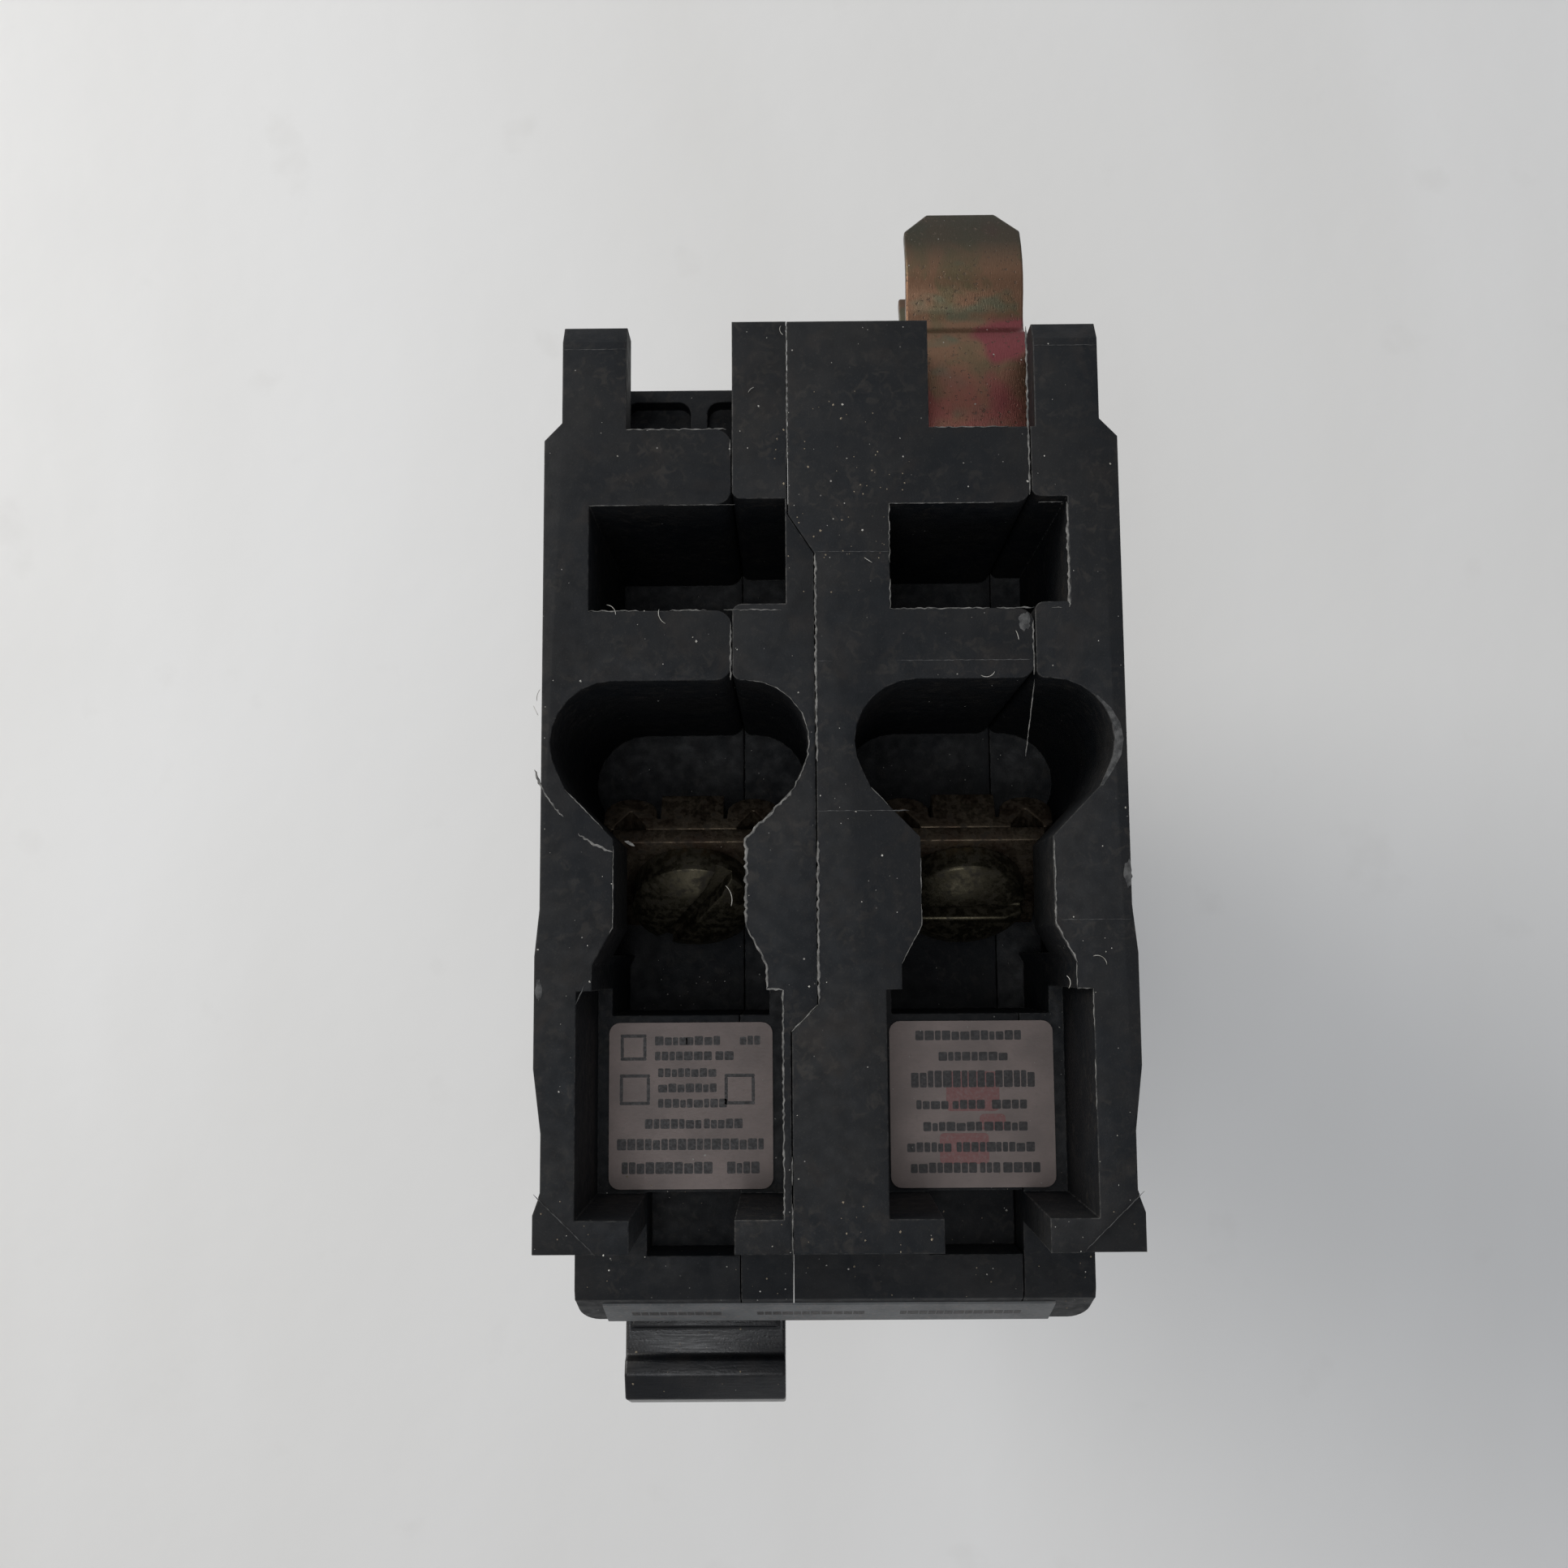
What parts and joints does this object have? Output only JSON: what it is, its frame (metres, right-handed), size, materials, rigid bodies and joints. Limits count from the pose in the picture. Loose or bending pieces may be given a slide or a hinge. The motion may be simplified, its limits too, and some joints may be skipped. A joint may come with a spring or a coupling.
{
  "type": "molded case breaker",
  "caption": "Bolt-on molded case circuit breaker with linked poles, one shared toggle handle, clamp-plate wire terminals at one end and bolted line tabs at the other.",
  "frame": {"origin": "midway between the two line bolts, on the face of the line tabs that seats on the bus", "axes": "+X across the poles, +Y towards the mounting rail and along the line bolts, +Z from the line tabs towards the load terminals"},
  "size_m": [0.0382, 0.0866, 0.103],
  "materials": {
    "thermoset": "matte moulded thermoset",
    "handle_black": "satin moulded plastic",
    "zinc_steel": "bright zinc plate",
    "spring_steel": "drawn wire",
    "copper": "rolled copper",
    "contact_silver": "silver alloy",
    "bimetal": "rolled strip",
    "brass": "turned",
    "plated_clamp": "dull yellow chromate",
    "screw_steel": "yellow chromate on steel",
    "gold_chromate": "yellow chromate on spring steel",
    "fibre": "pressed fibre",
    "flag_red": "moulded",
    "clear_window": "clear moulding",
    "label_paper": "printed paper"
  },
  "bodies": {
    "case": {"left_base": "thermoset", "left_cover": "thermoset", "right_base": "thermoset", "right_cover": "thermoset", "case_rivets": "zinc_steel", "arm_pins": "zinc_steel", "cradle_pins": "zinc_steel", "armature_pins": "zinc_steel", "flag_pin": "zinc_steel", "left_yoke": "zinc_steel", "right_yoke": "zinc_steel", "left_arc_plates": "zinc_steel", "right_arc_plates": "zinc_steel", "left_toggle_spring": "spring_steel", "right_toggle_spring": "spring_steel", "trip_spring": "spring_steel", "left_braid": "copper", "right_braid": "copper", "left_line_strap": "copper", "right_line_strap": "copper", "left_line_contact": "contact_silver", "right_line_contact": "contact_silver", "left_bimetal": "bimetal", "right_bimetal": "bimetal", "calibration_screws": "brass", "left_load_terminal": "plated_clamp", "right_load_terminal": "plated_clamp", "mounting_clip": "gold_chromate", "arc_cheeks": "fibre", "flag_window": "clear_window", "left_end_label": "label_paper", "right_end_label": "label_paper", "front_label": "label_paper"},
    "handle": {"handle": "handle_black", "handle_shaft": "zinc_steel", "second_pole_operator": "handle_black"},
    "left_arm": {"left_contact_arm": "copper", "left_arm_contact": "contact_silver"},
    "right_arm": {"right_contact_arm": "copper", "right_arm_contact": "contact_silver"},
    "left_cradle": {"left_cradle": "zinc_steel"},
    "right_cradle": {"right_cradle": "zinc_steel"},
    "trip_bar": {"trip_bar": "fibre"},
    "left_armature": {"left_armature": "zinc_steel"},
    "right_armature": {"right_armature": "zinc_steel"},
    "trip_flag": {"trip_flag": "flag_red"},
    "left_clamp": {"left_clamp_plate": "plated_clamp"},
    "right_clamp": {"right_clamp_plate": "plated_clamp"},
    "left_screw": {"left_terminal_screw": "screw_steel"},
    "right_screw": {"right_terminal_screw": "screw_steel"},
    "left_washer": {"left_line_washer": "zinc_steel"},
    "right_washer": {"right_line_washer": "zinc_steel"},
    "left_bolt": {"left_line_bolt": "zinc_steel"},
    "right_bolt": {"right_line_bolt": "zinc_steel"}
  },
  "joints": [
    {"name": "handle_swing", "type": "hinge", "parent": "case", "child": "handle", "pos_m": [0, -0.035, 0.0643], "axis": [1, 0, 0], "range_deg": [0, 36]},
    {"name": "left_arm_swing", "type": "hinge", "parent": "case", "child": "left_arm", "pos_m": [-0.00953, -0.022, 0.0583], "axis": [1, 0, 0], "range_deg": [0, 20], "deforming": ["left_toggle_spring", "left_braid"]},
    {"name": "right_arm_swing", "type": "hinge", "parent": "case", "child": "right_arm", "pos_m": [0.00953, -0.022, 0.0583], "axis": [1, 0, 0], "range_deg": [0, 20], "deforming": ["right_toggle_spring", "right_braid"]},
    {"name": "trip_bar_turn", "type": "hinge", "parent": "case", "child": "trip_bar", "pos_m": [0, 0.011, 0.0553], "axis": [-1, 0, 0], "range_deg": [0, 8], "stiffness_Nm_per_rad": 0.02, "deforming": ["trip_spring"]},
    {"name": "left_armature_swing", "type": "hinge", "parent": "case", "child": "left_armature", "pos_m": [-0.00953, 0.0105, 0.0599], "axis": [-1, 0, 0], "range_deg": [0, 5]},
    {"name": "left_cradle_swing", "type": "hinge", "parent": "case", "child": "left_cradle", "pos_m": [-0.00953, -0.027, 0.0383], "axis": [-1, 0, 0], "range_deg": [0, 12]},
    {"name": "right_armature_swing", "type": "hinge", "parent": "case", "child": "right_armature", "pos_m": [0.00953, 0.0105, 0.0599], "axis": [-1, 0, 0], "range_deg": [0, 5]},
    {"name": "right_cradle_swing", "type": "hinge", "parent": "case", "child": "right_cradle", "pos_m": [0.00953, -0.027, 0.0383], "axis": [-1, 0, 0], "range_deg": [0, 12]},
    {"name": "trip_flag_turn", "type": "hinge", "parent": "case", "child": "trip_flag", "pos_m": [0.00953, -0.033, 0.0463], "axis": [1, 0, 0], "range_deg": [0, 30]},
    {"name": "left_screw_turn", "type": "hinge", "parent": "case", "child": "left_screw", "pos_m": [-0.0099, -0.0155, 0.0789], "axis": [0, -0.809, 0.5878], "range_deg": [0, 1362]},
    {"name": "left_clamp_slide", "type": "slide", "parent": "case", "child": "left_clamp", "axis": [0, 0.809, -0.5878], "range_m": [0, 0.003]},
    {"name": "right_screw_turn", "type": "hinge", "parent": "case", "child": "right_screw", "pos_m": [0.00965, -0.0155, 0.0789], "axis": [0, -0.809, 0.5878], "range_deg": [0, 1362]},
    {"name": "right_clamp_slide", "type": "slide", "parent": "case", "child": "right_clamp", "axis": [0, 0.809, -0.5878], "range_m": [0, 0.003]},
    {"name": "left_washer_slide", "type": "slide", "parent": "case", "child": "left_washer", "axis": [0, -1, 0], "range_m": [0, 0.005]},
    {"name": "left_bolt_turn", "type": "hinge", "parent": "left_washer", "child": "left_bolt", "pos_m": [-0.00953, 0, 0], "axis": [0, -1, 0], "range_deg": [0, 2268]},
    {"name": "right_washer_slide", "type": "slide", "parent": "case", "child": "right_washer", "axis": [0, -1, 0], "range_m": [0, 0.005]},
    {"name": "right_bolt_turn", "type": "hinge", "parent": "right_washer", "child": "right_bolt", "pos_m": [0.00953, 0, 0], "axis": [0, -1, 0], "range_deg": [0, 2268]}
  ],
  "couplings": [
    {"joint": "left_arm_swing", "follows": "handle_swing", "ratio": 0.55556},
    {"joint": "right_arm_swing", "follows": "handle_swing", "ratio": 0.55556},
    {"joint": "left_armature_swing", "follows": "trip_bar_turn", "ratio": 0.625},
    {"joint": "left_cradle_swing", "follows": "trip_bar_turn", "ratio": 1.5},
    {"joint": "right_armature_swing", "follows": "trip_bar_turn", "ratio": 0.625},
    {"joint": "right_cradle_swing", "follows": "trip_bar_turn", "ratio": 1.5},
    {"joint": "trip_flag_turn", "follows": "trip_bar_turn", "ratio": 3.75},
    {"joint": "left_screw_turn", "follows": "left_clamp_slide", "rad_per_m": 7913.3},
    {"joint": "right_screw_turn", "follows": "right_clamp_slide", "rad_per_m": 7913.3},
    {"joint": "left_bolt_turn", "follows": "left_washer_slide", "rad_per_m": 7913.3},
    {"joint": "right_bolt_turn", "follows": "right_washer_slide", "rad_per_m": 7913.3}
  ]
}
